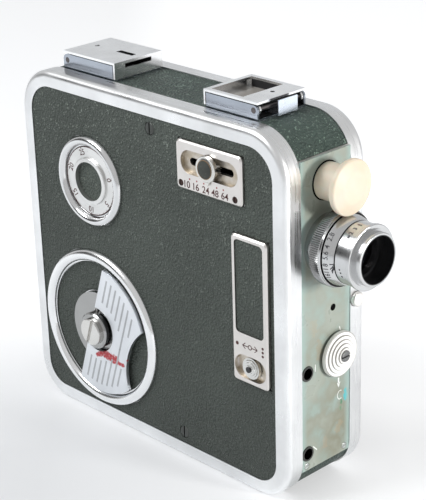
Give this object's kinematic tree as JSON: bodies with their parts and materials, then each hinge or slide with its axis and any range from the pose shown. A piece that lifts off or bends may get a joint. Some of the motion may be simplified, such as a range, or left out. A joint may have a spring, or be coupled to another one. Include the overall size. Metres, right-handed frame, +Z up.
{
  "type": "movie camera",
  "caption": "Spring-driven 8 mm movie camera with bright rims, folding key winder, counter dial, speed and mode switches, knurled lens and fold-down finders.",
  "frame": {"origin": "mouth of the tripod socket in the base, level with the undersides of the side rims, mid-length and mid-width of the body", "axes": "+X towards the lens, +Y towards the film door (away from the winder), +Z up"},
  "size_m": [0.1413, 0.04, 0.1261],
  "materials": {
    "casting": "cast, matt",
    "rim": "polished satin",
    "ring": "bright",
    "bezel": "bright",
    "side_grain": "fine grain, dark grey-green",
    "band_grain": "fine grain, dark green",
    "front_paint": "pale grey-green, worn",
    "plate_silver": "fine matt",
    "dial_silver": "turned",
    "screw_steel": "dark",
    "winder_screw_chrome": "bright",
    "wing_silver": "satin",
    "hub_steel": "satin, worn",
    "knob_chrome": "bright, worn",
    "latch_chrome": "bright",
    "lens_silver": "satin",
    "lens_glass": "coated",
    "black_metal": "matt black",
    "plug_ivory": "smooth",
    "finder_chrome": "bright",
    "pin_steel": "plain",
    "finder_glass": "clear",
    "brass_works": "machined",
    "spring_steel": "blued",
    "gate_steel": "machined",
    "spindle_black": "moulded"
  },
  "bodies": {
    "camera": {"body_casting": "casting", "mechanism_plate": "casting", "mechanism_posts": "gate_steel", "side_cover": "rim", "side_leather": "side_grain", "band_leather": "band_grain", "cover_screws": "screw_steel", "winder_ring": "ring", "dish_leather": "side_grain", "counter_bezel": "bezel", "speed_plate": "plate_silver", "speed_plate_screws": "screw_steel", "mode_plate": "plate_silver", "mode_inlay": "side_grain", "front_plate": "front_paint", "front_plate_screws": "screw_steel", "cable_sockets": "gate_steel", "lens_barrel": "lens_silver", "front_lens": "lens_glass", "rear_lens": "lens_glass", "iris_plate": "black_metal", "tripod_bush": "gate_steel", "rear_finder_base": "finder_chrome", "rear_finder_pin": "pin_steel", "front_finder_base": "finder_chrome", "front_finder_pin": "pin_steel", "front_finder_spring": "finder_chrome", "film_gate": "gate_steel", "shutter_cover": "black_metal"},
    "winder": {"winder_hub": "hub_steel", "winding_arbor": "pin_steel", "winder_screw": "winder_screw_chrome", "wing_pin": "pin_steel"},
    "wing": {"winder_wing": "wing_silver"},
    "dial": {"counter_dial": "dial_silver", "dial_inlay": "side_grain", "dial_clip": "pin_steel"},
    "speed_switch": {"speed_knob": "knob_chrome"},
    "mode_switch": {"mode_knob": "knob_chrome", "mode_screw": "screw_steel"},
    "release": {"release_disc": "knob_chrome", "release_screw": "screw_steel", "release_slide": "black_metal"},
    "aperture": {"aperture_ring": "lens_silver"},
    "socket_plug": {"plug": "plug_ivory"},
    "rear_flap": {"rear_finder_cover": "finder_chrome"},
    "front_flap": {"front_finder_frame": "finder_chrome", "front_finder_glass": "finder_glass"},
    "door": {"film_door": "rim", "door_leather": "side_grain"},
    "latch": {"door_button": "latch_chrome"},
    "barrel": {"spring_barrel": "brass_works", "mainspring": "spring_steel"},
    "train": {"train_wheel": "brass_works"},
    "crank": {"crank_wheel": "brass_works"},
    "claw": {"claw_shutter": "spring_steel"},
    "pressure": {"pressure_plate": "black_metal"},
    "takeup": {"takeup_spindle": "spindle_black"},
    "feed": {"feed_spindle": "spindle_black"}
  },
  "joints": [
    {"name": "winder_spin", "type": "hinge", "parent": "camera", "child": "winder", "pos_m": [-0.026, -0.0175, 0.0343], "axis": [0, -1, 0], "continuous": true},
    {"name": "wing_fold", "type": "hinge", "parent": "winder", "child": "wing", "pos_m": [-0.02823, -0.0186, 0.03505], "axis": [-0.318, 0, -0.9481], "range_deg": [0, 95]},
    {"name": "dial_turn", "type": "hinge", "parent": "camera", "child": "dial", "pos_m": [-0.0271, -0.017, 0.0868], "axis": [0, -1, 0], "continuous": true},
    {"name": "speed_set", "type": "slide", "parent": "camera", "child": "speed_switch", "axis": [1, 0, 0], "range_m": [-0.008, 0.008]},
    {"name": "mode_set", "type": "slide", "parent": "camera", "child": "mode_switch", "axis": [1, 0, 0], "range_m": [-0.0022, 0.0022]},
    {"name": "release_move", "type": "slide", "parent": "camera", "child": "release", "axis": [0, 0, 1], "range_m": [-0.005, 0.0025], "stiffness_N_per_m": 150},
    {"name": "aperture_turn", "type": "hinge", "parent": "camera", "child": "aperture", "pos_m": [0.068, 0, 0.0837], "axis": [1, 0, 0], "range_deg": [-75, 75]},
    {"name": "plug_pull", "type": "slide", "parent": "camera", "child": "socket_plug", "axis": [1, 0, 0], "range_m": [0, 0.03]},
    {"name": "rear_finder_fold", "type": "hinge", "parent": "camera", "child": "rear_flap", "pos_m": [-0.0437, 0, 0.1231], "axis": [0, -1, 0], "range_deg": [0, 90]},
    {"name": "front_finder_fold", "type": "hinge", "parent": "camera", "child": "front_flap", "pos_m": [0.0414, 0, 0.1232], "axis": [0, 1, 0], "range_deg": [0, 90]},
    {"name": "door_lift", "type": "slide", "parent": "camera", "child": "door", "axis": [0, 1, 0], "range_m": [0, 0.06]},
    {"name": "latch_press", "type": "slide", "parent": "door", "child": "latch", "axis": [-1, 0, 0], "range_m": [0, 0.0008], "stiffness_N_per_m": 400},
    {"name": "pressure_move", "type": "slide", "parent": "camera", "child": "pressure", "axis": [-1, 0, 0], "range_m": [0, 0.002], "stiffness_N_per_m": 300},
    {"name": "claw_move", "type": "slide", "parent": "camera", "child": "claw", "axis": [0, 0, -1], "range_m": [0, 0.0042]},
    {"name": "barrel_spin", "type": "hinge", "parent": "camera", "child": "barrel", "pos_m": [-0.026, -0.01, 0.0343], "axis": [0, -1, 0], "continuous": true},
    {"name": "train_spin", "type": "hinge", "parent": "camera", "child": "train", "pos_m": [0.00385, -0.009, 0.05443], "axis": [0, -1, 0], "continuous": true},
    {"name": "crank_spin", "type": "hinge", "parent": "camera", "child": "crank", "pos_m": [0.0373, -0.009, 0.06402], "axis": [0, -1, 0], "continuous": true},
    {"name": "takeup_spin", "type": "hinge", "parent": "camera", "child": "takeup", "pos_m": [-0.026, 0.005, 0.0343], "axis": [0, -1, 0], "continuous": true},
    {"name": "feed_spin", "type": "hinge", "parent": "camera", "child": "feed", "pos_m": [-0.0271, 0.005, 0.0868], "axis": [0, -1, 0], "continuous": true}
  ],
  "couplings": [
    {"joint": "train_spin", "follows": "barrel_spin", "ratio": -4},
    {"joint": "crank_spin", "follows": "barrel_spin", "ratio": 15.333},
    {"joint": "takeup_spin", "follows": "barrel_spin", "ratio": 1}
  ]
}
